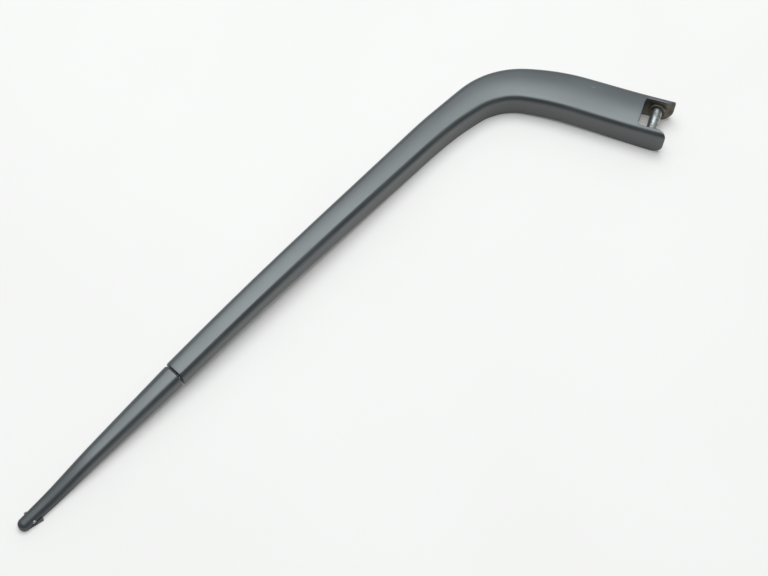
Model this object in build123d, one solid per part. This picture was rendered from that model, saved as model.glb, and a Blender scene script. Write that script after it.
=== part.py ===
from build123d import *
import math
import os

# Rear wiper arm: a cranked channel casting with a clevis, a pressed steel tail and its spring.
# Millimetres and degrees. Origin at the middle of the pivot pin, the leg along +X, +Z up.
# The arm lies on a bench on its open underside.

# Centre line in plan, measured from the pivot pin towards the tip
leg_straight = 36.0
lead_in_radius = 117.0
lead_in_turn = 12.0
bend_radius = 33.0
bend_turn = 47.0
lead_out_radius = 234.0
lead_out_turn = 8.4
casting_reach = 274.0
tip_reach = 361.5

# Height of the lower edges above the bench
pin_height = 7.2
leg_lift = 1.3
arch_lift = 5.7
arch_place = 235.0
tail_lift = 2.6
tail_place = 320.0
rest_place = 348.0

# Channel casting: outside widths and depths at the ears, leg, bend, crank and seam
clevis_width = 21.0
leg_width = 20.3
bend_width = 16.9
crank_width = 13.5
seam_width = 10.2
ear_depth = 14.7
leg_depth = 12.6
bend_depth = 12.5
crank_depth = 12.3
seam_depth = 7.4
roof_crown_share = 0.05
clevis_shoulder = 3.0
seam_shoulder = 3.1
leg_wall = 3.3
seam_wall = 2.0
clevis_roof = 2.6
seam_roof = 2.0

# Clevis ears, the slot milled between them and its flared mouth
ear_wall = 3.0
ear_reach = 7.2
ear_top_radius = 3.0
ear_foot_radius = 7.0
ear_flare_length = 3.6
ear_flare_depth = 1.8
slot_reach = 6.4
slot_corner = 1.4

# Stiffening ribs across the long part of the casting
rib_count = 5
rib_first = 112.0
rib_last = 236.0
rib_thickness = 1.6
rib_depth = 4.0

# Pivot pin, thrust washers and spring anchor pin
pivot_pin_radius = 2.5
washer_radius = 4.0
washer_thickness = 1.0
washer_side_gap = 0.15
washer_bore_gap = 0.06
anchor_place = 51.6
anchor_pin_radius = 1.6
anchor_drop = 0.5

# Tail: a pressed channel with a flat tongue held by two peened studs of the casting
seam_gap = 0.5
tail_root_width = 9.7
tail_tip_width = 5.2
tail_root_depth = 7.3
tail_tip_depth = 4.3
tail_wall = 1.2
tail_root_shoulder = 3.1
tail_tip_shoulder = 2.2
tail_root_edge = 0.4
tongue_length = 26.0
tongue_width = 4.9
tongue_thickness = 1.4
tongue_roof_gap = 0.35
stud_radius = 1.2
stud_hole_gap = 0.1
stud_head_radius = 1.9
stud_head_height = 0.9
stud_head_gap = 0.15
stud_count = 2
stud_spacing = 11.0
stud_inset = 8.0

# Blade pin across the tip and the flared lip along its lower edges
blade_pin_place = 355.6
blade_pin_height = 2.5
blade_pin_radius = 0.8
blade_pin_proud = 0.35
blade_pin_chamfer = 0.25
lip_start = 351.8
lip_step = 0.6
lip_length = 7.0
lip_proud = 1.25
lip_thickness = 0.9

# Tension spring and its hook
wire_radius = 0.9
wire_side_count = 6
coil_radius = 3.4
coil_pitch = 1.95
coil_turn_count = 10
turn_run_count = 12
loop_gap = 0.2
loop_start = 120.0
loop_sweep = 230.0
droop_angle = 4.4
strap_width = 5.0
strap_thickness = 1.4
strap_tail = 2.2
strap_reach = 12.0
strap_hole_gap = 0.4
hook_bend_radius = 1.9
hook_wrap = 200.0

# Sections of the lofts along the leg, round the crank, along the arm, the tail and its tongue
leg_section_count = 4
crank_section_count = 13
arm_section_count = 6
tail_section_count = 10
tongue_section_count = 4

# Overlap that carries a cutting tool past the surface it cuts
past = 3.0


def smooth_curve(stations):
    """Curve through (place, size) stations that never overshoots and is level at each peak."""
    spans = list(zip(stations, stations[1:]))
    slopes = [(b[1] - a[1]) / (b[0] - a[0]) for a, b in spans]
    tangents = [slopes[0]]
    for before, after in zip(slopes, slopes[1:]):
        tangents.append(2 * before * after / (before + after) if before * after > 0 else 0.0)
    tangents.append(slopes[-1])

    def size_at(place):
        index = 0
        while index < len(spans) - 1 and place > stations[index + 1][0]:
            index += 1
        start, end = spans[index]
        length = end[0] - start[0]
        t = (place - start[0]) / length
        if t < 0:
            return start[1] + tangents[0] * (place - start[0])
        if t > 1:
            return end[1] + tangents[-1] * (place - end[0])
        rise = end[1] - start[1]
        bow_in = tangents[index] * length - rise
        bow_out = tangents[index + 1] * length - rise
        return start[1] + rise * t + t * (1 - t) * (bow_in * (1 - t) - bow_out * t)

    return size_at


# Places along the centre line
lead_in_length = lead_in_radius * math.radians(lead_in_turn)
bend_length = bend_radius * math.radians(bend_turn)
lead_out_length = lead_out_radius * math.radians(lead_out_turn)
bend_start = leg_straight + lead_in_length
bend_middle = bend_start + bend_length / 2
bend_end = bend_start + bend_length
crank_place = bend_end + lead_out_length / 2
crank_end = bend_end + lead_out_length
ear_end = -ear_reach
tail_start = casting_reach + seam_gap
nose_place = tip_reach - tail_tip_width / 2
bench = -pin_height

# Centre line on the bench: straight leg, eased bend, straight arm
run_up = ear_reach + 2 * past
leg_line = Line((-run_up, 0, bench), (leg_straight, 0, bench))
lead_in = JernArc(leg_line @ 1, leg_line % 1, lead_in_radius, lead_in_turn)
bend = JernArc(lead_in @ 1, lead_in % 1, bend_radius, bend_turn)
lead_out = JernArc(bend @ 1, bend % 1, lead_out_radius, lead_out_turn)
arm_line = Line(lead_out @ 1, (lead_out @ 1) + (lead_out % 1) * (tip_reach - crank_end + past))
centre_line = Wire([leg_line, lead_in, bend, lead_out, arm_line])


def station(place):
    """Upright plane across the arm: local X to the left of travel, local Y up from the bench."""
    point = centre_line.position_at(run_up + place, position_mode=PositionMode.LENGTH)
    along = centre_line.tangent_at(run_up + place, position_mode=PositionMode.LENGTH)
    return Plane(origin=point, x_dir=(-along.Y, along.X, 0), z_dir=along)


def crowned_face(place, width, low, top, shoulder):
    """Cross-section with upright walls, rounded shoulders and a crowned roof."""
    half = width / 2
    eaves = top - width * roof_crown_share
    outline = [
        Line((-half, low), (-half, eaves)),
        ThreePointArc((-half, eaves), (0, top), (half, eaves)),
        Line((half, eaves), (half, low)),
        Line((half, low), (-half, low)),
    ]
    face = make_face(outline)
    face = fillet(face.vertices().sort_by(Axis.Y)[-2:], shoulder)
    return station(place) * face


def hollow_face(place, width, top):
    """Cross-section of a hollow with a flat roof, open through the lower edges."""
    low = lift_at(place) - past
    return station(place) * Pos(0, (low + top) / 2) * Rectangle(width, top - low)


# Sizes along the casting and the tail
width_at = smooth_curve([
    (0, clevis_width),
    (leg_straight, leg_width),
    (bend_middle, bend_width),
    (crank_place, crank_width),
    (casting_reach, seam_width),
])
depth_at = smooth_curve([
    (ear_end, ear_depth),
    (leg_straight, leg_depth),
    (bend_middle, bend_depth),
    (crank_place, crank_depth),
    (casting_reach, seam_depth),
])
lift_at = smooth_curve([
    (ear_end, 0),
    (0, 0),
    (leg_straight, leg_lift),
    (bend_end, 0),
    (arch_place, arch_lift),
    (tail_place, tail_lift),
    (rest_place, 0),
    (tip_reach, 0),
])
shoulder_at = smooth_curve([(0, clevis_shoulder), (casting_reach, seam_shoulder)])
wall_at = smooth_curve([(0, leg_wall), (leg_straight, leg_wall), (casting_reach, seam_wall)])
roof_at = smooth_curve([(0, clevis_roof), (casting_reach, seam_roof)])
tail_width_at = smooth_curve([(tail_start, tail_root_width), (nose_place, tail_tip_width)])
tail_depth_at = smooth_curve([(tail_start, tail_root_depth), (nose_place, tail_tip_depth)])
tail_shoulder_at = smooth_curve([(tail_start, tail_root_shoulder), (nose_place, tail_tip_shoulder)])


def casting_width(place):
    """The ears are parallel, so the width holds from the pin to their ends."""
    return width_at(max(place, 0))


def casting_outside(place):
    low = lift_at(place)
    top = low + depth_at(place)
    return crowned_face(place, casting_width(place), low, top, shoulder_at(place))


def casting_hollow_top(place):
    return lift_at(place) + depth_at(place) - roof_at(place)


def casting_hollow(place):
    width = casting_width(place) - 2 * wall_at(max(place, 0))
    return hollow_face(place, width, casting_hollow_top(place))


def spread(first, last, count):
    return [first + (last - first) * index / (count - 1) for index in range(count)]


def cranked_loft(section, first, last):
    """Solid through the sections of the straight leg, the bend and the straight arm in turn."""
    leg_places = spread(first, leg_straight, leg_section_count)
    crank_places = spread(leg_straight, crank_end, crank_section_count)
    arm_places = spread(crank_end, last, arm_section_count)
    leg = loft([section(place) for place in leg_places], ruled=True)
    crank = loft([section(place) for place in crank_places])
    arm = loft([section(place) for place in arm_places], ruled=True)
    return leg + crank + arm


# Channel casting
casting_block = cranked_loft(casting_outside, ear_end, casting_reach)
hollow_block = cranked_loft(casting_hollow, ear_end - past, casting_reach + past)
casting = casting_block - hollow_block

for place in spread(rib_first, rib_last, rib_count):
    top = casting_hollow_top(place)
    slab = station(place) * Box(casting_width(place), 2 * rib_depth, rib_thickness)
    rib = Pos(0, 0, top) * slab & hollow_block
    casting += rib

# Slot between the ears, with rounded inner corners and a mouth that flares towards the ends
slot_half = clevis_width / 2 - ear_wall
slot_length = slot_reach + ear_reach + past
slot_face = Pos(slot_reach - slot_length / 2, 0) * Rectangle(slot_length, 2 * slot_half)
slot_face = fillet(slot_face.vertices().sort_by(Axis.X)[-2:], slot_corner)
flare_run = ear_flare_length + past
flare_end = slot_half + ear_flare_depth * flare_run / ear_flare_length
flare_start_x = ear_end + ear_flare_length
flare_face = make_face(Polyline(
    (flare_start_x, -slot_half),
    (flare_start_x - flare_run, -flare_end),
    (flare_start_x - flare_run, flare_end),
    (flare_start_x, slot_half),
    close=True,
))
casting -= extrude(slot_face + flare_face, 2 * ear_depth, both=True)


def ear_corner_cutter(radius, height, up):
    """What lies outside a rounded corner of the ears' side outline."""
    reach = radius + past
    corner_middle = Pos(ear_end + radius - reach / 2, height - up * (radius - reach / 2))
    corner = corner_middle * Rectangle(reach, reach)
    round_part = Pos(ear_end + radius, height - up * radius) * Circle(radius)
    profile = Plane.XZ * (corner - round_part)
    return extrude(profile, clevis_width, both=True)


casting -= ear_corner_cutter(ear_foot_radius, bench, -1)
ear_brow = ear_depth - clevis_width * roof_crown_share * (2 * slot_half / clevis_width) ** 2
casting -= ear_corner_cutter(ear_top_radius, bench + ear_brow, 1)

# Studs under the roof that hold the tail's tongue, peened over below it
stud_places = [casting_reach - stud_inset - index * stud_spacing for index in range(stud_count)]


def tongue_top(place):
    """The tongue lies just below the underside of the roof."""
    return casting_hollow_top(place) - tongue_roof_gap


for place in stud_places:
    tongue_low = tongue_top(place) - tongue_thickness
    foot = Pos(station(place).origin + Vector(0, 0, tongue_low - stud_head_gap))
    stud_length = casting_hollow_top(place) + seam_roof / 2 - tongue_low + stud_head_gap
    stud = foot * extrude(Circle(stud_radius), stud_length)
    head = foot * extrude(Circle(stud_head_radius), -stud_head_height)
    head = chamfer(head.edges().group_by(Axis.Z)[0], stud_head_height / 2)
    casting += stud + head

# Pins across the casting, flush with its walls and pressed in
pivot_rod = Rot(90, 0, 0) * Cylinder(pivot_pin_radius, 2 * clevis_width)
pivot_pin = pivot_rod & casting_block
anchor_rod = Rot(90, 0, 0) * Cylinder(anchor_pin_radius, 2 * clevis_width)
anchor_rod = Pos(anchor_place, 0, -anchor_drop) * anchor_rod
anchor_pin = anchor_rod & casting_block
casting -= pivot_rod
casting -= anchor_rod

# Thrust washers on the pivot pin, one against each ear
washer_middle = slot_half - washer_side_gap - washer_thickness / 2
washer_ring = Circle(washer_radius) - Circle(pivot_pin_radius + washer_bore_gap)
washer = Rot(90, 0, 0) * extrude(washer_ring, washer_thickness / 2, both=True)
washer_far = Pos(0, -washer_middle, 0) * washer
washer_near = Pos(0, washer_middle, 0) * washer


# Tail: tapered channel with a domed nose, closed at its root
def tail_outside(place):
    low = lift_at(place)
    top = low + tail_depth_at(place)
    return crowned_face(place, tail_width_at(place), low, top, tail_shoulder_at(place))


def tail_hollow(place):
    top = lift_at(place) + tail_depth_at(place) - tail_wall
    return hollow_face(place, tail_width_at(place) - 2 * tail_wall, top)


def nose(section):
    """Half turn of a section at the tail's tip about its upright middle line."""
    plane = station(nose_place)
    right_half = plane * Pos(-tail_root_width / 2, 0) * Rectangle(tail_root_width, 2 * tip_reach)
    return revolve(section(nose_place) & right_half, Axis(plane.origin, (0, 0, 1)), 180)


tail_places = spread(tail_start, nose_place, tail_section_count)
tail = loft([tail_outside(place) for place in tail_places], ruled=True)
root_middle = station(tail_start) * Pos(0, lift_at(tail_start) + tail_root_depth / 2)
root_face = tail.faces().sort_by_distance(root_middle.position)[0]
tail = chamfer(root_face.edges(), tail_root_edge)
tail += nose(tail_outside)

# Lip along the lower edges of the tip: it steps out behind the blade pin and runs in towards the nose
lip_base = Plane(station(lip_start).origin, x_dir=station(lip_start).z_dir)
lip_edge_half = tail_width_at(lip_start + lip_step) / 2 + lip_proud
lip_end_half = tail_width_at(lip_start + lip_length) / 2
lip_face = make_face(Polyline(
    (0, 0),
    (lip_step, lip_edge_half),
    (lip_length, lip_end_half),
    (lip_length, -lip_end_half),
    (lip_step, -lip_edge_half),
    close=True,
))
tail += extrude(lip_base * lip_face, lip_thickness)

tail_hollow_places = [tail_start + tail_wall] + tail_places[1:]
tail -= loft([tail_hollow(place) for place in tail_hollow_places], ruled=True)
tail -= nose(tail_hollow)

tongue_places = spread(casting_reach - tongue_length, casting_reach, tongue_section_count)
tongue_places.append(tail_start + tail_wall / 2)
tongue_faces = []
for place in tongue_places:
    middle = tongue_top(min(place, casting_reach)) - tongue_thickness / 2
    tongue_faces.append(station(place) * Pos(0, middle) * Rectangle(tongue_width, tongue_thickness))
tongue = loft(tongue_faces)
for place in stud_places:
    hole = Pos(station(place).origin) * Cylinder(stud_radius + stud_hole_gap, 4 * ear_depth)
    tongue -= hole
tail += tongue

# Blade pin, proud of the tip on both sides
blade_pin_length = tail_width_at(blade_pin_place) + 2 * blade_pin_proud
blade_seat = station(blade_pin_place) * Pos(0, blade_pin_height, 0) * Rot(0, 90, 0)
blade_rod = blade_seat * Cylinder(blade_pin_radius, blade_pin_length)
tail -= blade_rod
blade_pin = chamfer(blade_rod.edges().filter_by(GeomType.CIRCLE), blade_pin_chamfer)

# Tension spring, modelled level along -X from its anchor and then let down to rest
spring_axis_z = -anchor_drop
loop_middle_offset = coil_radius - wire_radius - anchor_pin_radius - loop_gap
rear_loop_x = anchor_place - loop_middle_offset
coil_rear_x = rear_loop_x - coil_radius / 2
coil_length = coil_pitch * coil_turn_count
coil_front_x = coil_rear_x - coil_length
front_loop_x = coil_front_x - coil_radius / 2


def bent_wire(points):
    """Wire bent through points in short straight runs."""
    path = Polyline(*points)
    start = Plane(origin=path @ 0, z_dir=path % 0)
    section = start * RegularPolygon(wire_radius, wire_side_count)
    return sweep(section, path=path, transition=Transition.RIGHT)


run_turn = 360 / turn_run_count
coil_points = []
for index in range(coil_turn_count * turn_run_count + 1):
    angle = math.radians(index * run_turn)
    x = coil_rear_x - coil_pitch * index / turn_run_count
    coil_points.append((x, coil_radius * math.sin(angle), spring_axis_z + coil_radius * math.cos(angle)))
coil = bent_wire(coil_points)


def end_loop(middle_x, facing):
    """Hook at a coil's end, in the upright plane, open at its lower side."""
    run_count = round(loop_sweep / run_turn)
    points = []
    for index in range(run_count + 1):
        angle = math.radians(loop_start - loop_sweep * index / run_count)
        x = middle_x + facing * coil_radius * math.cos(angle)
        points.append((x, 0, spring_axis_z + coil_radius * math.sin(angle)))
    return bent_wire(points)


spring = coil + end_loop(rear_loop_x, 1) + end_loop(front_loop_x, -1)

# Hook pressed from strip: an eye for the spring's front loop and a turned-up end
eye_x = front_loop_x - coil_radius
hook_line = Line((eye_x + strap_tail, spring_axis_z), (eye_x - strap_reach, spring_axis_z))
hook_turn = JernArc(hook_line @ 1, hook_line % 1, hook_bend_radius, -hook_wrap)
hook_profile = trace([hook_line, hook_turn], strap_thickness)
hook = extrude(Plane.XZ * hook_profile, strap_width / 2, both=True)
hook -= Pos(eye_x, 0, spring_axis_z) * Cylinder(wire_radius + strap_hole_gap, 2 * strap_thickness)

anchor_axis = Axis((anchor_place, 0, spring_axis_z), (0, 1, 0))
spring = spring.rotate(anchor_axis, -droop_angle)
hook = hook.rotate(anchor_axis, -droop_angle)

nodes = {
    "arm_casting": casting,
    "arm_tail": tail,
    "pivot_pin": pivot_pin,
    "thrust_washer_far": washer_far,
    "thrust_washer_near": washer_near,
    "spring_anchor_pin": anchor_pin,
    "tension_spring": spring,
    "spring_hook": hook,
    "blade_pin": blade_pin,
}
os.makedirs("parts", exist_ok=True)
for name, shape in nodes.items():
    export_step(shape, f"parts/{name}.step")
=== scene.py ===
import math

import bmesh
import bpy
from mathutils import Matrix, Vector


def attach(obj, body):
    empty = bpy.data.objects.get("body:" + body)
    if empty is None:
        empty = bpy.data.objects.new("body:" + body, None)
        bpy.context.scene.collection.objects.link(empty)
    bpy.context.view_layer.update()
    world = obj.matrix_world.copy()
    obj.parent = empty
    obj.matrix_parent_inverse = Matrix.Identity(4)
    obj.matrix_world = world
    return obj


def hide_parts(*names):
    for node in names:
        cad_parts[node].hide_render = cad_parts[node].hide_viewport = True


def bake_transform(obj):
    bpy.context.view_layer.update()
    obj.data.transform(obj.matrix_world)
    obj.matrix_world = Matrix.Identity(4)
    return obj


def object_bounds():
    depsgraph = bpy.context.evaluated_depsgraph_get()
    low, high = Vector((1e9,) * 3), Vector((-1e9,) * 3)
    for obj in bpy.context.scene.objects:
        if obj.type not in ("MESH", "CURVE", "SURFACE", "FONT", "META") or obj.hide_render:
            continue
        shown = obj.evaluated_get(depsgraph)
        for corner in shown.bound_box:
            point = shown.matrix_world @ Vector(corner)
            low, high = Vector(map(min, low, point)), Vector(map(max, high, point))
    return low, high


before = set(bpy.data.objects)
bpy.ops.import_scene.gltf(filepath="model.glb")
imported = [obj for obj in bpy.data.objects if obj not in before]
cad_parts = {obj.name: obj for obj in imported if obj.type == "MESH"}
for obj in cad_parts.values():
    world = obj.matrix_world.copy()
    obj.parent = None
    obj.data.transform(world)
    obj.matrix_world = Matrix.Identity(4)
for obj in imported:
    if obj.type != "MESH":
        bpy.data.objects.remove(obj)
cad_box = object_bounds()

# Arm casting. A cranked channel die-cast in zinc in one piece, from the clevis round the bend to the seam.
# It is sprayed outside with satin dark paint; its inside and the slot between the ears stay bare, as cast.
# Sizes are in millimetres: places along the middle line from the pivot pin, and heights above the bench.
MM = 0.001
bench = cad_box[0][2] / MM
leg_straight = 36.0
crank_turns = [(117.0, 12.0), (33.0, 47.0), (234.0, 8.4)]
casting_reach = 274.0
tip_reach = 361.5
crown_share = 0.05
ear_reach = 7.2
ear_top_radius = 3.0
ear_foot_radius = 5.5
ear_flare_length = 3.6
ear_flare_depth = 1.8
slot_reach = 6.4
slot_half = 7.5
slot_corner = 1.4
slot_edge = 0.35
lower_edge = 0.4
seam_edge = 0.4
ceiling_fillet = 0.8
edge_middle = 0.3
roof_steps = 4
ear_steps = 9
slot_corner_steps = 6
channel_step = 1.4

turn_lengths = [radius * math.radians(degrees) for radius, degrees in crank_turns]
bend_start = leg_straight + turn_lengths[0]
bend_middle = bend_start + turn_lengths[1] / 2
bend_end = bend_start + turn_lengths[1]
crank_place = bend_end + turn_lengths[2] / 2


def smooth_curve(stations):
    """Curve through (place, size) stations that never overshoots and is level at each peak."""
    spans = list(zip(stations, stations[1:]))
    slopes = [(b[1] - a[1]) / (b[0] - a[0]) for a, b in spans]
    tangents = [slopes[0]]
    for before, after in zip(slopes, slopes[1:]):
        tangents.append(2 * before * after / (before + after) if before * after > 0 else 0.0)
    tangents.append(slopes[-1])

    def size_at(place):
        index = 0
        while index < len(spans) - 1 and place > stations[index + 1][0]:
            index += 1
        start, end = spans[index]
        length = end[0] - start[0]
        t = (place - start[0]) / length
        if t < 0:
            return start[1] + tangents[0] * (place - start[0])
        if t > 1:
            return end[1] + tangents[-1] * (place - end[0])
        rise = end[1] - start[1]
        bow_in = tangents[index] * length - rise
        bow_out = tangents[index + 1] * length - rise
        return start[1] + rise * t + t * (1 - t) * (bow_in * (1 - t) - bow_out * t)

    return size_at


width_at = smooth_curve([
    (0, 21.0),
    (leg_straight, 20.3),
    (bend_middle, 16.9),
    (crank_place, 13.5),
    (casting_reach, 10.2),
])
depth_at = smooth_curve([
    (-ear_reach, 14.7),
    (leg_straight, 12.6),
    (bend_middle, 12.5),
    (crank_place, 12.3),
    (casting_reach, 7.4),
])
lift_at = smooth_curve([
    (-ear_reach, 0.0),
    (0, 0.0),
    (leg_straight, 1.3),
    (bend_end, 0.0),
    (235.0, 5.7),
    (320.0, 2.6),
    (348.0, 0.0),
    (tip_reach, 0.0),
])
shoulder_at = smooth_curve([(0, 3.0), (casting_reach, 3.1)])
wall_at = smooth_curve([(0, 3.3), (leg_straight, 3.3), (casting_reach, 2.0)])
roof_at = smooth_curve([(0, 2.6), (casting_reach, 2.0)])


def centre_line(place):
    """Point and heading of the arm's middle line at a distance from the pivot pin."""
    x = min(place, leg_straight)
    y = 0.0
    heading = 0.0
    left = place - leg_straight
    for radius, degrees in crank_turns:
        turn = min(max(left, 0) / radius, math.radians(degrees))
        x += radius * (math.sin(heading + turn) - math.sin(heading))
        y += radius * (math.cos(heading) - math.cos(heading + turn))
        heading += turn
        left -= radius * turn
    straight = max(left, 0)
    return x + straight * math.cos(heading), y + straight * math.sin(heading), heading


def on_arm(place, across, height):
    """Point of the frame at a place along the arm, out to its left and up from the bench."""
    x, y, heading = centre_line(place)
    left = (-math.sin(heading), math.cos(heading))
    return Vector((x + across * left[0], y + across * left[1], bench + height)) * MM


def roof_arcs(half, top, shoulder):
    """Crown radius and middle, shoulder middle, and where across the arm the two meet."""
    crown = 2 * half * crown_share
    radius = (half ** 2 + crown ** 2) / (2 * crown)
    middle = top - radius
    corner = half - shoulder
    corner_height = middle + math.sqrt((radius - shoulder) ** 2 - corner ** 2)
    return radius, middle, corner, corner_height, corner * radius / (radius - shoulder)


def steps(first, last, count):
    return [first + (last - first) * index / count for index in range(count + 1)]


def quarter(middle, radius, first, last, count):
    """Points of an arc in the section, angles in degrees."""
    angles = [math.radians(angle) for angle in steps(first, last, count)]
    return [(middle[0] + radius * math.cos(a), middle[1] + radius * math.sin(a)) for a in angles]


def casting_half(place, side, cut, sink=0.0, inset=0.0):
    """Half section: from the middle of the roof out, down the wall, and up inside to the middle.

    side is the distance to the slot, or the same share of a whole roof. A cut section stops there.
    sink rounds the roof's end at the slot and inset rounds the casting's own ends.
    """
    full_half = width_at(max(place, 0)) / 2
    half = full_half - inset
    top = lift_at(place) + depth_at(place) - inset
    low = lift_at(place) + inset
    brow = math.inf
    if cut:
        side += inset
        brow_x = min(place + ear_reach - ear_top_radius, 0)
        brow_top = depth_at(-ear_reach) - 2 * full_half * crown_share * (slot_half / full_half) ** 2
        brow = brow_top - inset - ear_top_radius + math.sqrt(ear_top_radius ** 2 - brow_x ** 2)
        foot_x = min(place + ear_reach - ear_foot_radius, 0)
        low = max(low, inset + ear_foot_radius - math.sqrt(ear_foot_radius ** 2 - foot_x ** 2))
    radius, middle, corner, corner_height, meeting = roof_arcs(half, top, shoulder_at(place))
    shoulder = half - corner

    def roof_height(across):
        if across <= meeting:
            height = middle + math.sqrt(radius ** 2 - across ** 2)
        else:
            height = corner_height + math.sqrt(max(shoulder ** 2 - (across - corner) ** 2, 0))
        return min(height, brow)

    # A cut section keeps its points of the open roof on the slot's edge
    outside = []
    for across in steps(0, side, roof_steps)[:-1]:
        if cut:
            outside.append((side, roof_height(side) - slot_edge))
        else:
            outside.append((across, roof_height(across) - sink))
    for angle in (0, 45, 90):
        across = side + slot_edge * (1 - math.cos(math.radians(angle)))
        drop = slot_edge * (1 - math.sin(math.radians(angle)))
        outside.append((across, roof_height(across) - (drop if cut else min(sink, drop))))
    roof_start = side + slot_edge
    for across in steps(roof_start, max(meeting, roof_start), 3)[1:]:
        outside.append((across, roof_height(across)))
    tilt = math.degrees(math.atan2(corner_height - middle, corner))
    for across, height in quarter((corner, corner_height), shoulder, tilt, 0, 7)[1:]:
        across = max(across, roof_start)
        outside.append((across, min(height, roof_height(across))))
    inner = full_half - wall_at(max(place, 0))
    if cut:
        inner = max(inner, side)
    edge = min(lower_edge, 0.45 * (half - inner))
    wall_top = min(corner_height, brow)
    outside += [(half, height) for height in steps(wall_top, low + edge, 3)[1:]]
    outside += quarter((half - edge, low + edge), edge, 0, -90, 3)[1:]
    ceiling = min(top - roof_at(place), brow - 2 * slot_edge)
    inside = quarter((inner + edge, low + edge), edge, -90, -180, 3)
    inside.append((inner, (low + ceiling) / 2))
    inside += quarter((inner - ceiling_fillet, ceiling - ceiling_fillet), ceiling_fillet, 0, 90, 3)
    inside += [(across, ceiling) for across in steps(inner - ceiling_fillet, side, 2)[1:]]
    inside += [(across, ceiling) for across in steps(side, 0, roof_steps)[1:]]
    if cut:
        inside = [(max(across, side), height) for across, height in inside]
    return outside, inside


def ring_of(shape, place, points, hand):
    return [shape.verts.new(on_arm(place, hand * across, height)) for across, height in points]


def skin(shape, rings, closed, slots):
    """Quads between neighbouring rings of points; slots gives the finish of each strip."""
    count = len(rings[0])
    strips = count if closed else count - 1
    for before, after in zip(rings, rings[1:]):
        for index in range(strips):
            following = (index + 1) % count
            corners = (before[index], before[following], after[following], after[index])
            shape.faces.new(corners).material_index = slots[index]


def plain_mesh(piece):
    """Takes up a piece's modifiers into its mesh."""
    graph = bpy.context.evaluated_depsgraph_get()
    mesh = bpy.data.meshes.new_from_object(piece.evaluated_get(graph), depsgraph=graph)
    piece.modifiers.clear()
    piece.data = mesh


def close_piece(shape, name, finishes, sharp=40.0):
    """Object of a closed shape, with its doubles merged and its flat faces shaded flat."""
    merge = 0.002 * MM
    bmesh.ops.remove_doubles(shape, verts=shape.verts, dist=merge)
    bmesh.ops.dissolve_degenerate(shape, edges=shape.edges, dist=merge)
    bmesh.ops.recalc_face_normals(shape, faces=shape.faces)
    mesh = bpy.data.meshes.new(name)
    shape.to_mesh(mesh)
    shape.free()
    for finish in finishes:
        mesh.materials.append(finish)
    mesh.shade_smooth()
    mesh.set_sharp_from_angle(angle=math.radians(sharp))
    piece = bpy.data.objects.new(name, mesh)
    bpy.context.scene.collection.objects.link(piece)
    flats = piece.modifiers.new("flats", "WEIGHTED_NORMAL")
    flats.keep_sharp = True
    plain_mesh(piece)
    return piece


def add_node(tree, kind, inputs=(), **settings):
    """Node with its settings and its inputs, each a value or another node's output."""
    made = tree.nodes.new(kind)
    for name, value in settings.items():
        setattr(made, name, value)
    for name, value in dict(inputs).items():
        if isinstance(value, bpy.types.NodeSocket):
            tree.links.new(value, made.inputs[name])
        else:
            made.inputs[name].default_value = value
    return made


def new_finish(name):
    """Material with its node tree, its main shader and the object's own coordinates."""
    material = bpy.data.materials.new(name)
    material.use_nodes = True
    tree = material.node_tree
    place = add_node(tree, "ShaderNodeTexCoord").outputs["Object"]
    return material, tree, tree.nodes["Principled BSDF"], place


def grain(tree, place, scale, detail=2.0, rough=0.5):
    made = add_node(tree, "ShaderNodeTexNoise", {
        "Vector": place, "Scale": scale, "Detail": detail, "Roughness": rough})
    return made.outputs["Fac"]


def level(tree, value, low, high, start=0.0, end=1.0):
    """Value between low and high spread evenly over start to end, and held outside."""
    made = add_node(tree, "ShaderNodeMapRange", {
        "Value": value, "From Min": low, "From Max": high, "To Min": start, "To Max": end})
    return made.outputs["Result"]


def sums(tree, operation, a, b):
    return add_node(tree, "ShaderNodeMath", {0: a, 1: b}, operation=operation).outputs["Value"]


def tint(tree, share, before, after):
    """Colour part of the way from one colour to another."""
    made = add_node(tree, "ShaderNodeMix", {"Factor": share, 6: before, 7: after}, data_type="RGBA")
    return made.outputs[2]


def relief(tree, height, depth, below=None):
    """Bump of a real depth in millimetres."""
    inputs = {"Height": height, "Distance": depth * MM, "Strength": 1.0}
    if below is not None:
        inputs["Normal"] = below
    return add_node(tree, "ShaderNodeBump", inputs).outputs["Normal"]


paint_colour = (0.030, 0.034, 0.038, 1)
paint_worn_colour = (0.044, 0.050, 0.054, 1)
paint_dust_colour = (0.17, 0.17, 0.165, 1)
paint_scuff_colour = (0.13, 0.135, 0.135, 1)
scuff_place = (30.6, -4.7)
scuff_length = 2.6
scuff_width = 0.7
dull_start = 238.0
dull_end = 254.0
dull_roughness = 0.12
dull_sheen = 0.65
satin_roughness = (0.34, 0.42)
dust_share = 0.6
dust_roughness = 0.3


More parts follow.
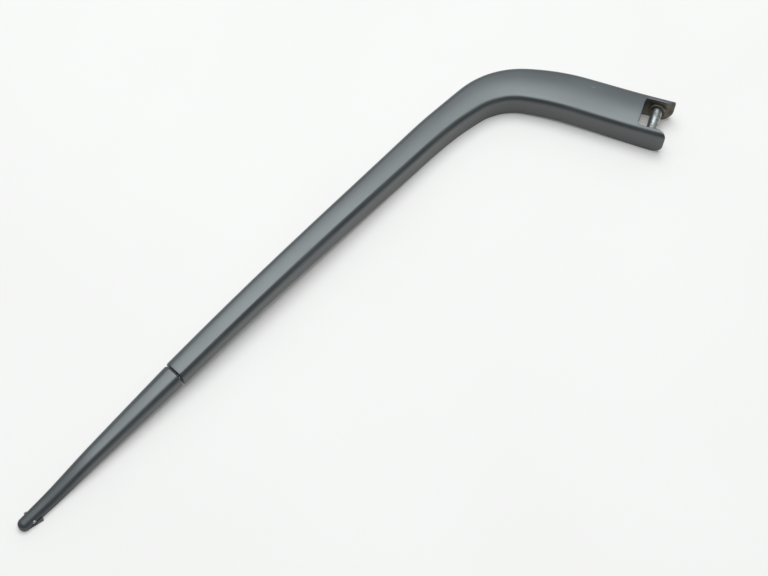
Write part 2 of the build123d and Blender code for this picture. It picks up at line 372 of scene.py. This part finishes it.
def make_paint():
    material, tree, shader, place = new_finish("satin_dark_paint")
    clouds = grain(tree, place, 45.0, 3.0)
    peel = grain(tree, place, 900.0, 2.0)
    texture = grain(tree, place, 3200.0, 2.0)
    specks = level(tree, grain(tree, place, 1500.0, 1.0), 0.73, 0.79)
    dusty = level(tree, grain(tree, place, 28.0, 2.0), 0.42, 0.70)
    dust = sums(tree, "MULTIPLY", specks, dusty)
    scuff_middle = Vector((scuff_place[0], scuff_place[1], 0)) * MM
    scuff_scale = (2 / (scuff_length * MM), 2 / (scuff_width * MM), 0)
    moved = add_node(tree, "ShaderNodeVectorMath", {0: place, 1: scuff_middle}, operation="SUBTRACT")
    scale_inputs = {0: moved.outputs[0], 1: scuff_scale}
    scaled = add_node(tree, "ShaderNodeVectorMath", scale_inputs, operation="MULTIPLY")
    reach = add_node(tree, "ShaderNodeVectorMath", {0: scaled.outputs[0]}, operation="LENGTH")
    ragged = sums(tree, "MULTIPLY", grain(tree, place, 2200.0), 0.9)
    ragged = sums(tree, "ADD", reach.outputs["Value"], ragged)
    scuff = level(tree, ragged, 1.35, 0.75)
    colour = tint(tree, level(tree, clouds, 0.3, 0.7), paint_colour, paint_worn_colour)
    colour = tint(tree, sums(tree, "MULTIPLY", dust, dust_share), colour, paint_dust_colour)
    colour = tint(tree, scuff, colour, paint_scuff_colour)
    tree.links.new(colour, shader.inputs["Base Color"])
    satin = level(tree, clouds, 0.3, 0.7, *satin_roughness)
    along = add_node(tree, "ShaderNodeSeparateXYZ", {0: place}).outputs["Y"]
    dulled = level(tree, along, dull_start * MM, dull_end * MM)
    dust_matt = sums(tree, "MULTIPLY", dust, dust_roughness)
    matt = sums(tree, "ADD", dust_matt, sums(tree, "MULTIPLY", dulled, dull_roughness))
    tree.links.new(sums(tree, "ADD", satin, matt), shader.inputs["Roughness"])
    fine = relief(tree, texture, 0.006)
    tree.links.new(relief(tree, peel, 0.012, fine), shader.inputs["Normal"])
    tree.links.new(level(tree, dulled, 0.0, 1.0, 1.0, dull_sheen), shader.inputs["Specular IOR Level"])
    return material


cast_colour = (0.125, 0.103, 0.083, 1)
cast_pale_colour = (0.260, 0.232, 0.185, 1)
cast_dark_colour = (0.040, 0.033, 0.028, 1)


def make_as_cast():
    material, tree, shader, place = new_finish("as_cast_zinc")
    blotches = grain(tree, place, 260.0, 4.0, 0.6)
    pits = grain(tree, place, 1400.0, 2.0)
    soot = level(tree, grain(tree, place, 120.0, 3.0), 0.45, 0.66)
    colour = tint(tree, level(tree, blotches, 0.35, 0.68), cast_colour, cast_pale_colour)
    colour = tint(tree, soot, colour, cast_dark_colour)
    tree.links.new(colour, shader.inputs["Base Color"])
    tree.links.new(level(tree, blotches, 0.3, 0.7, 0.72, 0.5), shader.inputs["Roughness"])
    shader.inputs["Metallic"].default_value = 0.25
    tree.links.new(relief(tree, pits, 0.05), shader.inputs["Normal"])
    return material


satin_paint = make_paint()
as_cast = make_as_cast()


def build_casting():
    shape = bmesh.new()
    corner_start = slot_reach - slot_corner
    flare_start = ear_flare_length - ear_reach
    slot_flat = slot_half - slot_corner

    # Sections of the ears: place, distance to the slot and rounding at the ends
    ear_sections = []
    for angle in (0, 45):
        inset = seam_edge * (1 - math.sin(math.radians(angle)))
        ear_sections.append((-ear_reach + seam_edge * (1 - math.cos(math.radians(angle))), inset))
    ear_sections += [(place, 0) for place in steps(-ear_reach + seam_edge, flare_start, ear_steps)]
    ear_sections += [(place, 0) for place in steps(flare_start, corner_start, ear_steps)[1:]]
    ear_rows = []
    for place, inset in ear_sections:
        flare = ear_flare_depth * max(flare_start - place, 0) / ear_flare_length
        ear_rows.append((place, slot_half + flare, inset))
    for angle in steps(0, 90, slot_corner_steps)[1:]:
        turn = math.radians(angle)
        place = corner_start + slot_corner * math.sin(turn)
        ear_rows.append((place, slot_flat + slot_corner * math.cos(turn), 0))

    # Sections of the whole channel: place and rounding at the slot and at the seam
    first_half = width_at(slot_reach) / 2
    slot_middle = edge_middle * slot_edge
    seam_middle = edge_middle * seam_edge
    whole_rows = [(slot_reach, slot_edge, 0), (slot_reach + slot_middle, slot_middle, 0)]
    long_steps = round((casting_reach - slot_reach) / channel_step)
    for place in steps(slot_reach + slot_edge, casting_reach - seam_edge, long_steps):
        whole_rows.append((place, 0, 0))
    whole_rows.append((casting_reach - seam_middle, 0, seam_middle))
    whole_rows.append((casting_reach, 0, seam_edge))

    for hand in (-1, 1):
        ears = []
        for place, side, inset in ear_rows:
            outside, inside = casting_half(place, side, True, inset=inset)
            ears.append(ring_of(shape, place, outside + inside, hand))
        slots = [0] * len(outside) + [1] * len(inside)
        skin(shape, ears, True, slots)
        shape.faces.new(ears[0])
        channel = []
        for place, sink, inset in whole_rows:
            side = slot_flat * width_at(place) / 2 / first_half
            outside, inside = casting_half(place, side, False, sink, inset)
            channel.append(ring_of(shape, place, outside + inside, hand))
        skin(shape, channel, False, slots)
        shape.faces.new(channel[-1])
        roof_end = shape.faces.new(channel[0][:roof_steps + 1] + channel[0][-roof_steps - 1:])
        roof_end.material_index = 1
    return close_piece(shape, "arm_casting_shell", [satin_paint, as_cast])


casting = build_casting()
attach(casting, "arm")
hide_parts("arm_casting")

# Stiffening ribs. Five low walls across the inside of the long channel, cast in one with the arm.
# They stand down from the roof and join both side walls; they are left as cast.
rib_places = steps(112.0, 236.0, 4)
rib_thickness = 1.6
rib_depth = 4.0
rib_sunk = 0.5
rib_edge = 0.3


def node_tree(name, sizes):
    """Geometry tree with named sizes, its input and its output."""
    tree = bpy.data.node_groups.new(name, "GeometryNodeTree")
    tree.interface.new_socket("Geometry", in_out="INPUT", socket_type="NodeSocketGeometry")
    for title in sizes:
        tree.interface.new_socket(title, in_out="INPUT", socket_type="NodeSocketFloat")
    tree.interface.new_socket("Geometry", in_out="OUTPUT", socket_type="NodeSocketGeometry")
    return tree, add_node(tree, "NodeGroupInput").outputs


def end_tree(tree, geometry, finish):
    """Ends a tree with real meshes in their finish."""
    real = add_node(tree, "GeometryNodeRealizeInstances", {"Geometry": geometry})
    painted = add_node(tree, "GeometryNodeSetMaterial", {"Geometry": real.outputs[0], "Material": finish})
    add_node(tree, "NodeGroupOutput", {"Geometry": painted.outputs[0]})


def grow(piece, tree, sizes):
    """Runs a tree on a piece with its sizes set, and keeps the result as a plain mesh."""
    modifier = piece.modifiers.new(tree.name, "NODES")
    modifier.node_group = tree
    for item in tree.interface.items_tree:
        if item.in_out == "INPUT" and item.name in sizes:
            modifier[item.identifier] = sizes[item.name]
    plain_mesh(piece)


def marks(name, points, edges=()):
    """Object of bare points, or of a line through them, for a tree to work on."""
    mesh = bpy.data.meshes.new(name)
    mesh.from_pydata(points, edges, [])
    piece = bpy.data.objects.new(name, mesh)
    bpy.context.scene.collection.objects.link(piece)
    return piece


def mark_values(piece, title, values):
    layer = piece.data.attributes.new(title, "FLOAT", "POINT")
    layer.data.foreach_set("value", values)


def round_edges(piece, width, sharp=50.0):
    """Rounds the sharp edges of a finished shape."""
    rounding = piece.modifiers.new("edges", "BEVEL")
    rounding.width = width * MM
    rounding.segments = 2
    rounding.limit_method = "ANGLE"
    rounding.angle_limit = math.radians(sharp)
    plain_mesh(piece)
    piece.data.shade_smooth()
    piece.data.set_sharp_from_angle(angle=math.radians(40.0))


def ceiling_height(place):
    return lift_at(place) + depth_at(place) - roof_at(place)


def build_ribs():
    tree, sizes = node_tree("cast_ribs", ["Thickness", "Depth"])
    block = add_node(tree, "ShaderNodeCombineXYZ", {0: sizes["Thickness"], 1: 1.0, 2: sizes["Depth"]})
    rib = add_node(tree, "GeometryNodeMeshCube", {"Size": block.outputs[0]})
    span = add_node(tree, "GeometryNodeInputNamedAttribute", {"Name": "span"}).outputs[0]
    heading = add_node(tree, "GeometryNodeInputNamedAttribute", {"Name": "heading"}).outputs[0]
    turn = add_node(tree, "ShaderNodeCombineXYZ", {2: heading})
    stretch = add_node(tree, "ShaderNodeCombineXYZ", {0: 1.0, 1: span, 2: 1.0})
    row = add_node(tree, "GeometryNodeInstanceOnPoints", {
        "Points": sizes["Geometry"], "Instance": rib.outputs["Mesh"],
        "Rotation": turn.outputs[0], "Scale": stretch.outputs[0]})
    end_tree(tree, row.outputs[0], as_cast)
    middles = []
    for place in rib_places:
        middles.append(on_arm(place, 0, ceiling_height(place) + rib_sunk - rib_depth / 2))
    piece = marks("casting_ribs", middles)
    spans = [(width_at(place) - 2 * wall_at(place) + 2 * rib_sunk) * MM for place in rib_places]
    mark_values(piece, "span", spans)
    mark_values(piece, "heading", [centre_line(place)[2] for place in rib_places])
    grow(piece, tree, {"Thickness": rib_thickness * MM, "Depth": rib_depth * MM})
    round_edges(piece, rib_edge)
    return piece


ribs = build_ribs()
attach(ribs, "arm")

# Tail. The tapered lower part, pressed from steel strip into a channel with a domed nose, painted as the arm.
# A flat tongue at its root lies under the casting's roof. Near the tip one edge is turned out into a lip.
tail_start = casting_reach + 0.5
tail_tip_width = 5.2
nose_place = tip_reach - tail_tip_width / 2
tail_wall = 1.2
tail_root_edge = 0.8
tail_lower_edge = 0.25
lip_start = 351.8
lip_step = 0.6
lip_length = 7.0
lip_proud = 1.25
lip_profile = [(1.6, 0.0), (1.1, 0.03), (0.9, 0.16), (0.88, 0.86), (0.74, 1.0), (0.25, 1.0)]
tongue_length = 26.0
tongue_width = 4.9
tongue_thickness = 1.4
tongue_gap = 0.35
tail_fillet = 0.4
tail_steps = 50
lip_steps = 4
tip_steps = 16
nose_steps = 20
tongue_steps = 12

tail_width_at = smooth_curve([(tail_start, 9.7), (nose_place, tail_tip_width)])
tail_depth_at = smooth_curve([(tail_start, 7.3), (nose_place, 4.3)])
tail_shoulder_at = smooth_curve([(tail_start, 3.1), (nose_place, 2.2)])


def lip_share(place):
    """How far the lip stands out at a place, from none to all."""
    run = place - lip_start
    if run < 0:
        return 0.0
    if run < lip_step:
        return run / lip_step
    return max((lip_length - run) / (lip_length - lip_step), 0.0)


def tail_half(place, solid, inset=0.0, hand=1):
    """Half section of the tail from the middle of its roof, round its wall and up inside."""
    half = tail_width_at(place) / 2 - inset
    share = lip_share(place) if hand > 0 else 0.0
    low = lift_at(place) * (1 - share) + inset
    top = lift_at(place) + tail_depth_at(place) - inset
    radius, middle, corner, corner_height, meeting = roof_arcs(half, top, tail_shoulder_at(place))
    shoulder = half - corner
    points = [(across, middle + math.sqrt(radius ** 2 - across ** 2)) for across in steps(0, meeting, 4)]
    tilt = math.degrees(math.atan2(corner_height - middle, corner))
    points += quarter((corner, corner_height), shoulder, tilt, 0, 6)[1:]
    for height, proud in lip_profile:
        points.append((half + proud * share * lip_proud, low + height))
    edge_out = half + share * lip_proud
    lower_middle = edge_middle * tail_lower_edge
    points.append((edge_out - lower_middle, low + lower_middle))
    points.append((edge_out - tail_lower_edge, low))
    inner = tail_width_at(place) / 2 - tail_wall
    ceiling = lift_at(place) + tail_depth_at(place) - tail_wall
    inner_corner = (inner - tail_fillet, ceiling - tail_fillet)
    inside = [(inner + tail_lower_edge, low), (inner, low + tail_lower_edge)]
    inside += quarter(inner_corner, tail_fillet, 0, 90, 3)
    inside += [((inner - tail_fillet) / 2, ceiling), (0, ceiling)]
    if solid:
        inside = [(0, low)] * len(inside)
    return points + inside


def build_tail():
    shape = bmesh.new()
    rows = []
    for angle in steps(0, 90, 4)[:-1]:
        turn = math.radians(angle)
        inset = tail_root_edge * (1 - math.sin(turn))
        rows.append((tail_start + tail_root_edge * (1 - math.cos(turn)), True, inset))
    rows += [(tail_start + tail_root_edge, True, 0), (tail_start + tail_wall, True, 0)]
    rows += [(place, False, 0) for place in steps(tail_start + tail_wall, lip_start, tail_steps)]
    rows += [(place, False, 0) for place in steps(lip_start, lip_start + lip_step, lip_steps)[1:]]
    rows += [(place, False, 0) for place in steps(lip_start + lip_step, nose_place, tip_steps)[1:]]

    sides = {}
    for hand in (-1, 1):
        rings = []
        for place, solid, inset in rows:
            rings.append(ring_of(shape, place, tail_half(place, solid, inset, hand), hand))
        sides[hand] = rings
    nose_x, nose_y, heading = centre_line(nose_place)
    turned = []
    for angle in steps(-90, 90, nose_steps)[1:-1]:
        turn = heading + math.radians(angle)
        ring = []
        for out, height in tail_half(nose_place, False):
            point = Vector((nose_x + out * math.cos(turn), nose_y + out * math.sin(turn), bench + height))
            ring.append(shape.verts.new(point * MM))
        turned.append(ring)
    rings = sides[-1] + turned + sides[1][::-1]
    skin(shape, rings, False, [0] * len(rings[0]))
    shape.faces.new(sides[-1][0] + sides[1][0][::-1])

    # Tongue under the casting's roof
    tongue_rows = steps(casting_reach - tongue_length, tail_start + tail_wall / 2, tongue_steps)
    strips = []
    for place in tongue_rows:
        high = ceiling_height(min(place, casting_reach)) - tongue_gap
        low = high - tongue_thickness
        half = tongue_width / 2
        strips.append(ring_of(shape, place, [(-half, high), (half, high), (half, low), (-half, low)], 1))
    skin(shape, strips, True, [0] * 4)
    shape.faces.new(strips[0])
    shape.faces.new(strips[-1])
    return close_piece(shape, "arm_tail_pressing", [satin_paint])


tail = build_tail()
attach(tail, "arm")
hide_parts("arm_tail")

# Stud heads. Two studs of the casting pass through the tail's tongue and are peened over below it.
# Each head is a flat spread cone of bare zinc.
stud_places = [casting_reach - 8.0, casting_reach - 19.0]
stud_head_radius = 1.9
stud_neck_radius = 1.35
stud_head_height = 0.9
stud_edge = 0.2
stud_sides = 28


def build_studs():
    tree, sizes = node_tree("peened_studs", ["Head Radius", "Neck Radius", "Height"])
    head = add_node(tree, "GeometryNodeMeshCone", {
        "Vertices": stud_sides, "Radius Top": sizes["Head Radius"], "Radius Bottom": sizes["Neck Radius"],
        "Depth": sizes["Height"]})
    row = add_node(tree, "GeometryNodeInstanceOnPoints", {
        "Points": sizes["Geometry"], "Instance": head.outputs["Mesh"]})
    end_tree(tree, row.outputs[0], as_cast)
    feet = []
    for place in stud_places:
        tongue_low = ceiling_height(place) - tongue_gap - tongue_thickness
        feet.append(on_arm(place, 0, tongue_low - stud_head_height))
    piece = marks("peened_stud_heads", feet)
    grow(piece, tree, {
        "Head Radius": stud_head_radius * MM, "Neck Radius": stud_neck_radius * MM,
        "Height": stud_head_height * MM})
    round_edges(piece, stud_edge, 40.0)
    return piece


studs = build_studs()
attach(studs, "arm")

# Pins. Turned steel rods pressed through the walls: the bright pivot pin across the clevis, the thinner pin
# that anchors the spring, and the small blade pin across the tip, whose chamfered ends stand proud.
pivot_radius = 2.5
anchor_radius = 1.6
anchor_place = 51.6
anchor_drop = 0.5
blade_pin_place = 355.6
blade_pin_height = 2.5
blade_pin_radius = 0.8
blade_pin_proud = 0.35
pin_chamfer = 0.25
pin_short = 0.3
turn_steps = 64
pin_colour = (0.42, 0.43, 0.43, 1)
pin_stain_colour = (0.15, 0.145, 0.13, 1)


def make_pin_steel():
    material, tree, shader, place = new_finish("zinc_plated_steel")
    stains = level(tree, grain(tree, place, 650.0, 3.0), 0.44, 0.62)
    turned = add_node(tree, "ShaderNodeMapping", {"Vector": place, "Scale": (300.0, 6000.0, 300.0)})
    rings = grain(tree, turned.outputs[0], 1.0, 2.0)
    colour = tint(tree, sums(tree, "MULTIPLY", stains, 0.8), pin_colour, pin_stain_colour)
    tree.links.new(colour, shader.inputs["Base Color"])
    tree.links.new(level(tree, stains, 0.0, 1.0, 0.30, 0.5), shader.inputs["Roughness"])
    shader.inputs["Metallic"].default_value = 0.9
    tree.links.new(relief(tree, rings, 0.006), shader.inputs["Normal"])
    return material


pin_steel = make_pin_steel()


def turned_piece(name, profile, middle, axis, finish, hollow=False):
    """Closed turned piece: (radius, along) points spun about an axis through its middle."""
    axis = Vector(axis).normalized()
    up = Vector((0, 0, 1))
    side = axis.cross(up)
    shape = bmesh.new()
    rings = []
    for index in range(turn_steps):
        angle = 2 * math.pi * index / turn_steps
        out = up * math.cos(angle) + side * math.sin(angle)
        rings.append([shape.verts.new((middle + out * r + axis * along) * MM) for r, along in profile])
    skin(shape, rings + rings[:1], hollow, [0] * len(profile))
    return close_piece(shape, name, [finish], 50.0)


def rod_profile(radius, length, chamfer):
    end = length / 2
    middle = edge_middle * chamfer
    half = [(0, end), (radius - chamfer, end), (radius - middle, end - middle), (radius, end - chamfer)]
    return [(out, -along) for out, along in half] + half[::-1]


def across_arm(place):
    heading = centre_line(place)[2]
    return (-math.sin(heading), math.cos(heading), 0)


def add_pin(node, radius, length, middle, axis):
    piece = turned_piece(node + "_rod", rod_profile(radius, length, pin_chamfer), middle, axis, pin_steel)
    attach(piece, "arm")
    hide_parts(node)


add_pin("pivot_pin", pivot_radius, width_at(0) - 2 * pin_short, Vector((0, 0, 0)), (0, 1, 0))
anchor_middle = on_arm(anchor_place, 0, 0) / MM
anchor_length = width_at(anchor_place) - 4 * pin_short
anchor_axis_point = Vector((anchor_place, anchor_middle.y, -anchor_drop))
add_pin("spring_anchor_pin", anchor_radius, anchor_length, anchor_axis_point, (0, 1, 0))
blade_pin_length = tail_width_at(blade_pin_place) + 2 * blade_pin_proud
blade_pin_middle = on_arm(blade_pin_place, 0, blade_pin_height) / MM
add_pin("blade_pin", blade_pin_radius, blade_pin_length, blade_pin_middle, across_arm(blade_pin_place))

# Thrust washers. Thin stamped steel rings that lie loose on the pivot pin, one against each ear,
# and keep the missing head's tongue from rubbing on the ears. They are dull and stained brown.
washer_radius = 4.0
washer_bore = 2.56
washer_thickness = 1.0
washer_middle = 6.85
washer_edge = 0.2
washer_colour = (0.20, 0.185, 0.155, 1)
washer_stain_colour = (0.06, 0.05, 0.04, 1)


def make_washer_steel():
    material, tree, shader, place = new_finish("stained_washer_steel")
    smears = grain(tree, place, 500.0, 3.0)
    colour = tint(tree, level(tree, smears, 0.35, 0.68), washer_colour, washer_stain_colour)
    tree.links.new(colour, shader.inputs["Base Color"])
    tree.links.new(level(tree, smears, 0.3, 0.7, 0.42, 0.6), shader.inputs["Roughness"])
    shader.inputs["Metallic"].default_value = 0.6
    tree.links.new(relief(tree, grain(tree, place, 2600.0), 0.006), shader.inputs["Normal"])
    return material


washer_steel = make_washer_steel()


def washer_profile():
    end = washer_thickness / 2
    profile = []
    corners = [(washer_radius, 1, -1), (washer_radius, -1, -1), (washer_bore, -1, 1), (washer_bore, 1, 1)]
    for radius, face, turn in corners:
        flat = (radius + turn * washer_edge, face * end)
        wall = (radius, face * (end - washer_edge))
        profile += [flat, wall] if turn * face < 0 else [wall, flat]
    return profile


for name, hand in (("far", -1), ("near", 1)):
    seat = Vector((0, hand * washer_middle, 0))
    washer = turned_piece(f"washer_{name}_ring", washer_profile(), seat, (0, 1, 0), washer_steel, True)
    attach(washer, f"washer_{name}")
    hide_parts(f"thrust_washer_{name}")

# Tension spring. Dark drawn wire wound into ten turns, each end bent up into a hooked loop.
# The rear loop hangs on the anchor pin and the front one holds the hook; it droops to the bench at rest.
wire_radius = 0.9
coil_radius = 3.4
coil_pitch = 1.95
coil_turns = 10
turn_points = 20
loop_gap = 0.2
loop_start = 120.0
loop_sweep = 230.0
loop_lead = 20.0
loop_steps = 16
coil_spare = 3
wire_sides = 14
wire_steps = 3
droop = math.radians(4.4)
wire_colour = (0.085, 0.080, 0.076, 1)
wire_rust_colour = (0.13, 0.070, 0.040, 1)

rear_loop_x = anchor_place - (coil_radius - wire_radius - anchor_radius - loop_gap)
coil_rear_x = rear_loop_x - coil_radius / 2
coil_front_x = coil_rear_x - coil_pitch * coil_turns
front_loop_x = coil_front_x - coil_radius / 2


def drooped(point):
    """Point of the level spring turned down about the anchor pin."""
    x = point[0] - anchor_place
    z = point[2] + anchor_drop
    turned_x = x * math.cos(droop) - z * math.sin(droop)
    turned_z = x * math.sin(droop) + z * math.cos(droop)
    return Vector((anchor_place + turned_x, point[1], turned_z - anchor_drop)) * MM


def make_spring_wire():
    material, tree, shader, place = new_finish("drawn_spring_wire")
    rust = level(tree, grain(tree, place, 380.0, 4.0), 0.55, 0.75)
    colour = tint(tree, sums(tree, "MULTIPLY", rust, 0.6), wire_colour, wire_rust_colour)
    tree.links.new(colour, shader.inputs["Base Color"])
    tree.links.new(level(tree, rust, 0.0, 1.0, 0.36, 0.7), shader.inputs["Roughness"])
    shader.inputs["Metallic"].default_value = 0.85
    tree.links.new(relief(tree, grain(tree, place, 1800.0), 0.01), shader.inputs["Normal"])
    return material


spring_wire = make_spring_wire()


def loop_points(middle_x, facing):
    """Points of an end loop in the upright plane, from the coil outwards."""
    points = []
    for angle in steps(loop_start - loop_lead, loop_start - loop_sweep, loop_steps):
        turn = math.radians(angle)
        across = facing * coil_radius * math.cos(turn)
        points.append((middle_x + across, 0, coil_radius * math.sin(turn) - anchor_drop))
    return points


def build_spring():
    tree, sizes = node_tree("wound_wire", ["Wire Radius"])
    line = add_node(tree, "GeometryNodeMeshToCurve", {"Mesh": sizes["Geometry"]})
    curve = {"Curve": line.outputs[0]}
    eased = add_node(tree, "GeometryNodeCurveSplineType", curve, spline_type="CATMULL_ROM")
    fine = add_node(tree, "GeometryNodeSetSplineResolution", {
        "Geometry": eased.outputs[0], "Resolution": wire_steps})
    ring = add_node(tree, "GeometryNodeCurvePrimitiveCircle", {
        "Resolution": wire_sides, "Radius": sizes["Wire Radius"]})
    wire = add_node(tree, "GeometryNodeCurveToMesh", {
        "Curve": fine.outputs[0], "Profile Curve": ring.outputs["Curve"], "Fill Caps": True})
    end_tree(tree, wire.outputs[0], spring_wire)
    points = loop_points(rear_loop_x, 1)[::-1]
    for index in range(coil_spare, coil_turns * turn_points - coil_spare + 1):
        turn = 2 * math.pi * index / turn_points
        x = coil_rear_x - coil_pitch * index / turn_points
        points.append((x, coil_radius * math.sin(turn), coil_radius * math.cos(turn) - anchor_drop))
    points += loop_points(front_loop_x, -1)
    edges = [(index, index + 1) for index in range(len(points) - 1)]
    piece = marks("tension_spring_wire", [drooped(point) for point in points], edges)
    grow(piece, tree, {"Wire Radius": wire_radius * MM})
    piece.data.shade_smooth()
    piece.data.set_sharp_from_angle(angle=math.radians(50.0))
    return piece


spring = build_spring()
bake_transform(spring)
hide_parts("tension_spring")

# Spring hook. A plated strip with a punched eye for the spring's front loop and a turned-up end
# that caught on the missing head. Its edges are slightly rounded from the press.
hook_edge = 0.18
hook_colour = (0.40, 0.37, 0.29, 1)
hook_dull_colour = (0.17, 0.15, 0.12, 1)


def make_hook_steel():
    material, tree, shader, place = new_finish("plated_strip")
    dull = level(tree, grain(tree, place, 330.0, 4.0), 0.42, 0.68)
    colour = tint(tree, dull, hook_colour, hook_dull_colour)
    tree.links.new(colour, shader.inputs["Base Color"])
    tree.links.new(level(tree, dull, 0.0, 1.0, 0.32, 0.6), shader.inputs["Roughness"])
    shader.inputs["Metallic"].default_value = 0.85
    tree.links.new(relief(tree, grain(tree, place, 1500.0), 0.01), shader.inputs["Normal"])
    return material


hook_steel = make_hook_steel()


def build_hook():
    shape = bmesh.new()
    shape.from_mesh(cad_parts["spring_hook"].data)
    bmesh.ops.remove_doubles(shape, verts=shape.verts, dist=0.001 * MM)
    bmesh.ops.dissolve_limit(shape, angle_limit=math.radians(2.0), verts=shape.verts, edges=shape.edges)
    piece = close_piece(shape, "spring_hook_strip", [hook_steel])
    round_edges(piece, hook_edge)
    return piece


hook = build_hook()
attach(hook, "hook")
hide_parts("spring_hook")

# Stage. A plain pale floor at the height of the bench, soft light from above and the far side,
# and a camera at the photograph's angle for an image of 768 by 576.
floor_size = 6.0
floor_colour = (0.79, 0.73, 0.71, 1)
floor_grey_colour = (0.77, 0.71, 0.69, 1)
# The floor's faint glow is painted light: it lifts the shadows cast on the floor and lights the walls from
# below.
floor_painted_glow_colour = (0.98, 0.99, 0.98, 1)
floor_painted_glow = 0.11
camera_place = (-4.3, 376.4, 542.8)
camera_heading = (0.3382, -0.9411)
camera_pitch = 63.47
camera_lens = 66.08
camera_sensor = 36.0
light_target = (95.0, 130.0, 0.0)
light_place = (201.0, -166.0, 1480.0)
light_size = 1.5
light_power = 23.0
light_colour = (0.90, 0.985, 1.0)
dome_height = 30.0
dome_low = 0.12
dome_rise = 0.6


def make_floor_finish():
    material, tree, shader, place = new_finish("pale_floor")
    tone = level(tree, grain(tree, place, 9.0, 2.0), 0.3, 0.7)
    tree.links.new(tint(tree, tone, floor_colour, floor_grey_colour), shader.inputs["Base Color"])
    shader.inputs["Roughness"].default_value = 0.8
    # Painted light: the floor glows faintly to lift the shadows cast on it.
    shader.inputs["Emission Color"].default_value = floor_painted_glow_colour
    shader.inputs["Emission Strength"].default_value = floor_painted_glow
    return material


def build_floor():
    shape = bmesh.new()
    bmesh.ops.create_grid(shape, x_segments=1, y_segments=1, size=floor_size / 2)
    mesh = bpy.data.meshes.new("floor")
    shape.to_mesh(mesh)
    shape.free()
    mesh.transform(Matrix.Translation((0, 0, bench * MM)))
    mesh.materials.append(make_floor_finish())
    piece = bpy.data.objects.new("floor", mesh)
    bpy.context.scene.collection.objects.link(piece)
    return piece


build_floor()


def add_soft_light():
    """Wide round lamp above the arm."""
    lamp = bpy.data.lights.new("overhead_light", "AREA")
    lamp.shape = "DISK"
    lamp.size = light_size
    lamp.energy = light_power
    lamp.color = light_colour
    piece = bpy.data.objects.new("overhead_light", lamp)
    piece.location = Vector(light_place) * MM
    aim = Vector(light_target) * MM - piece.location
    piece.rotation_euler = aim.to_track_quat("-Z", "Y").to_euler()
    bpy.context.scene.collection.objects.link(piece)


add_soft_light()


def make_soft_dome():
    """White surroundings, brightest on the far side and dim towards the camera."""
    height = math.radians(dome_height)
    level_out = Vector((camera_heading[0], camera_heading[1], 0)) * math.cos(height)
    dome_axis = level_out + Vector((0, 0, math.sin(height)))
    world = bpy.data.worlds.new("studio")
    world.use_nodes = True
    tree = world.node_tree
    towards = add_node(tree, "ShaderNodeTexCoord").outputs["Generated"]
    facing = add_node(tree, "ShaderNodeVectorMath", {0: towards, 1: dome_axis}, operation="DOT_PRODUCT")
    glow = level(tree, facing.outputs["Value"], 0.0, 1.0, dome_low, dome_low + dome_rise)
    tree.links.new(glow, tree.nodes["Background"].inputs["Strength"])
    tree.nodes["Background"].inputs["Color"].default_value = (*light_colour, 1)
    return world


bpy.context.scene.world = make_soft_dome()
bpy.context.scene.view_settings.view_transform = "Standard"

lens = bpy.data.cameras.new("photo_camera")
lens.sensor_fit = "HORIZONTAL"
lens.sensor_width = camera_sensor
lens.lens = camera_lens
camera = bpy.data.objects.new("photo_camera", lens)
camera.location = Vector(camera_place) * MM
pitch = math.radians(camera_pitch)
look = Vector((camera_heading[0] * math.cos(pitch), camera_heading[1] * math.cos(pitch), -math.sin(pitch)))
camera.rotation_euler = look.to_track_quat("-Z", "Y").to_euler()
bpy.context.scene.collection.objects.link(camera)
bpy.context.scene.camera = camera
